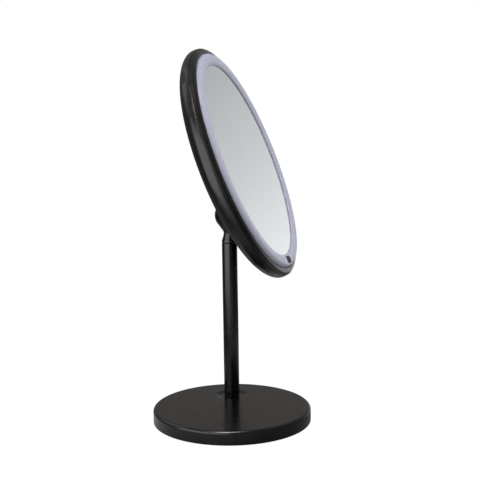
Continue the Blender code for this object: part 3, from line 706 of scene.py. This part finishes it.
def grey_ramp(tree, value, stops):
    """Colour by a value, from stops of position, grey level and how much bluer than grey."""
    ramp = tree.nodes.new("ShaderNodeValToRGB")
    elements = ramp.color_ramp.elements
    elements[0].position, elements[1].position = stops[0][0], stops[-1][0]
    for position, _, _ in stops[1:-1]:
        elements.new(position)
    for element, (_, grey, blue) in zip(elements, stops):
        element.color = (grey - blue, grey, grey + blue, 1.0)
    tree.links.new(value, ramp.inputs["Fac"])
    return ramp.outputs["Color"]


def world_light():
    """Dim studio with a white panel on the side that the mirror shows, and plain white behind the object."""
    world = bpy.data.worlds.new("studio")
    bpy.context.scene.world = world
    world.use_nodes = True
    tree = world.node_tree
    background = tree.nodes["Background"]
    place = tree.nodes.new("ShaderNodeTexCoord").outputs["Generated"]
    split = tree.nodes.new("ShaderNodeSeparateXYZ")
    height = tree.nodes.new("ShaderNodeMapRange")
    height.inputs["From Min"].default_value = -1.0
    tree.links.new(place, split.inputs["Vector"])
    tree.links.new(split.outputs["Z"], height.inputs["Value"])
    towards = tree.nodes.new("ShaderNodeVectorMath")
    towards.operation = "DOT_PRODUCT"
    towards.inputs[1].default_value = PANEL_SIDE
    tree.links.new(place, towards.inputs[0])
    edge = tree.nodes.new("ShaderNodeMapRange")
    edge.interpolation_type = "SMOOTHSTEP"
    edge.inputs["From Min"].default_value, edge.inputs["From Max"].default_value = PANEL_SPREAD
    tree.links.new(towards.outputs["Value"], edge.inputs["Value"])
    light = tree.nodes.new("ShaderNodeMix")
    light.data_type = "RGBA"
    tree.links.new(edge.outputs["Result"], light.inputs["Factor"])
    tree.links.new(grey_ramp(tree, height.outputs["Result"], ROOM), light.inputs[6])
    tree.links.new(grey_ramp(tree, height.outputs["Result"], PANEL), light.inputs[7])
    tree.links.new(light.outputs[2], background.inputs["Color"])
    plain = tree.nodes.new("ShaderNodeBackground")
    plain.inputs["Color"].default_value = (1.0, 1.0, 1.0, 1.0)
    seen = tree.nodes.new("ShaderNodeLightPath")
    mix = tree.nodes.new("ShaderNodeMixShader")
    tree.links.new(seen.outputs["Is Camera Ray"], mix.inputs["Fac"])
    tree.links.new(background.outputs["Background"], mix.inputs[1])
    tree.links.new(plain.outputs["Background"], mix.inputs[2])
    tree.links.new(mix.outputs["Shader"], tree.nodes["World Output"].inputs["Surface"])


def floor():
    """Round floor, plain white to the camera; glossy faces see it dim, with a painted shadow of the base
    round its darkest point and painted light brighter towards the camera.
    """
    bm = bmesh.new()
    bmesh.ops.create_circle(bm, cap_ends=True, segments=96, radius=FLOOR_RADIUS)
    ground = made("studio_floor", bm, Matrix())
    finish = bpy.data.materials.new("studio_floor")
    finish.use_nodes = True
    tree = finish.node_tree
    shader = tree.nodes["Principled BSDF"]
    shader.inputs["Base Color"].default_value = (0.05, 0.05, 0.05, 1.0)
    shader.inputs["Roughness"].default_value = 1.0
    shader.inputs["Specular IOR Level"].default_value = 0.0
    away = tree.nodes.new("ShaderNodeVectorMath")
    away.operation = "DISTANCE"
    away.inputs[1].default_value = FLOOR_DUSK
    place = tree.nodes.new("ShaderNodeTexCoord").outputs["Object"]
    tree.links.new(place, away.inputs[0])
    # Painted shadow of the base: the emitted glow is darkest round FLOOR_DUSK, next to the base, and rises
    # away from it.
    glow = grey_ramp(tree, away.outputs["Value"], [(distance, grey, 0.0) for distance, grey in FLOOR_GLOW])
    split = tree.nodes.new("ShaderNodeSeparateXYZ")
    tree.links.new(place, split.inputs["Vector"])
    # Painted light: a band of emitted glow that grows brighter towards the camera.
    front = tree.nodes.new("ShaderNodeMapRange")
    front.interpolation_type = "SMOOTHSTEP"
    front.inputs["From Min"].default_value = FRONT_GLOW[0]
    front.inputs["From Max"].default_value = FRONT_GLOW[1]
    front.inputs["To Max"].default_value = FRONT_GLOW[2]
    tree.links.new(split.outputs["X"], front.inputs["Value"])
    both = tree.nodes.new("ShaderNodeMath")
    both.operation = "ADD"
    tree.links.new(glow, both.inputs[0])
    tree.links.new(front.outputs["Result"], both.inputs[1])
    seen = tree.nodes.new("ShaderNodeLightPath")
    light = tree.nodes.new("ShaderNodeMix")
    light.data_type = "RGBA"
    light.inputs[7].default_value = (FLOOR_WHITE, FLOOR_WHITE, FLOOR_WHITE, 1.0)
    tree.links.new(seen.outputs["Is Camera Ray"], light.inputs["Factor"])
    tree.links.new(both.outputs["Value"], light.inputs[6])
    tree.links.new(light.outputs[2], shader.inputs["Emission Color"])
    shader.inputs["Emission Strength"].default_value = 1.0
    ground.data.materials.append(finish)


def lamp(name, where, target, size, radiance, colour=(1.0, 1.0, 1.0)):
    """Soft rectangular light at a point, facing another, unseen by the camera itself."""
    data = bpy.data.lights.new(name, "AREA")
    data.shape = "RECTANGLE"
    data.size, data.size_y = size
    data.energy = radiance * math.pi * size[0] * size[1]
    data.color = colour
    light = bpy.data.objects.new(name, data)
    bpy.context.scene.collection.objects.link(light)
    light.location = where
    light.rotation_mode = "QUATERNION"
    light.rotation_quaternion = (Vector(target) - Vector(where)).to_track_quat("-Z", "Y")
    light.visible_camera = False
    return light


def shine_only(light):
    """Keeps a light to glossy reflections, and out of matt faces that see it through the mirror."""
    light.visible_diffuse = False
    light.data.use_nodes = True
    tree = light.data.node_tree
    direct = tree.nodes.new("ShaderNodeMath")
    direct.operation = "LESS_THAN"
    direct.inputs[1].default_value = 0.5
    tree.links.new(tree.nodes.new("ShaderNodeLightPath").outputs["Diffuse Depth"], direct.inputs[0])
    tree.links.new(direct.outputs["Value"], tree.nodes["Emission"].inputs["Strength"])


def lights():
    """Soft box at the left, one overhead and one behind for the gloss; two more for the matt faces."""
    side = lamp("side_box", (-0.854, 0.52, 0.25), (0, 0, 0.25), (1.5, 1.3), 2.5, (0.98, 0.99, 1.0))
    shine_only(side)
    top = lamp("top_box", (-0.28, 0.05, 1.35), (0, 0, 0.1), (0.35, 0.8), 18, (1.0, 0.95, 0.92))
    shine_only(top)
    back = lamp("back_box", (0.25, 1.0, 0.95), (0, 0, 0.2), (0.9, 0.8), 0.9, (1.0, 0.96, 0.94))
    shine_only(back)
    fill = lamp("fill_box", (0.1, -0.75, 1.3), (0, 0, 0.2), (1.0, 1.0), 4.0)
    fill.visible_glossy = False
    front = lamp("front_box", (-1.3, -0.5, 0.6), (0, 0, 0.2), (1.0, 1.0), 1.15)
    front.visible_glossy = False


def camera():
    """Camera at the left of the head and a little above it, which sees the glass at a grazing angle."""
    data = bpy.data.cameras.new("camera")
    data.lens = CAMERA_LENS
    data.sensor_width = 36.0
    data.clip_start, data.clip_end = 0.05, 50.0
    thing = bpy.data.objects.new("camera", data)
    bpy.context.scene.collection.objects.link(thing)
    side, pitch, roll = (math.radians(a) for a in (CAMERA_HEADING, CAMERA_PITCH, CAMERA_ROLL))
    heading = Vector((math.cos(side), math.sin(side), 0))
    right = Vector((heading.y, -heading.x, 0))
    forward = heading * math.cos(pitch) + Vector((0, 0, math.sin(pitch)))
    up = right.cross(forward)
    across = right * math.cos(roll) - up * math.sin(roll)
    top = up * math.cos(roll) + right * math.sin(roll)
    turn = Matrix((across, top, -forward)).transposed().to_4x4()
    thing.matrix_world = Matrix.Translation(CAMERA_SPOT) @ turn
    bpy.context.scene.camera = thing


# ---------------------------------------------------------------- scene


def build():
    """Every piece, the stage and the camera."""
    paint, plastic, foam, acetal = satin_paint(), shell_plastic(), dense_foam(), natural_acetal()
    inner, steel, spring = inner_plastic(), plated_steel(), blue_spring()
    mask = circuit_board("green_board", (0.03, 0.16, 0.08), (0.08, 0.3, 0.14))
    white_mask = circuit_board("white_board", (0.78, 0.78, 0.75), (0.68, 0.67, 0.6))
    base_surfaces(paint, foam)
    pole_surface(paint)
    stud_surface(paint)
    seat_surface(acetal)
    rear_cover_surface(plastic)
    bezel_surface(plastic)
    ring_surfaces(opal_plastic(), charcoal_key())
    glass_surface(mirror_silver())
    port_cover_surface(soft_rubber())
    carried_over((
        (raw_iron(), ["base_weight"]),
        (steel, ["base_washer", "base_bolt", "pole_insert", "charging_socket", "clamp_plate"]),
        (steel, [f"clamp_screw_{i}" for i in (1, 2, 3)] + [f"frame_screw_{i}" for i in (1, 2, 3, 4)]),
        (spring, ["stud_clip", "friction_spring"]),
        (acetal, ["swivel_bush", "pressure_cup"]),
        (foam, ["mirror_pad", "battery_pad"]),
        (inner, ["inner_frame"]),
        (mask, ["touch_board", "control_board"]),
        (white_mask, ["led_board"]),
        (pouch_foil(), ["battery"]),
        (wire_sheath(), ["battery_lead", "led_lead", "touch_lead"]),
    ))
    world_light()
    floor()
    lights()
    camera()
    bpy.context.scene.view_settings.view_transform = "Standard"


build()
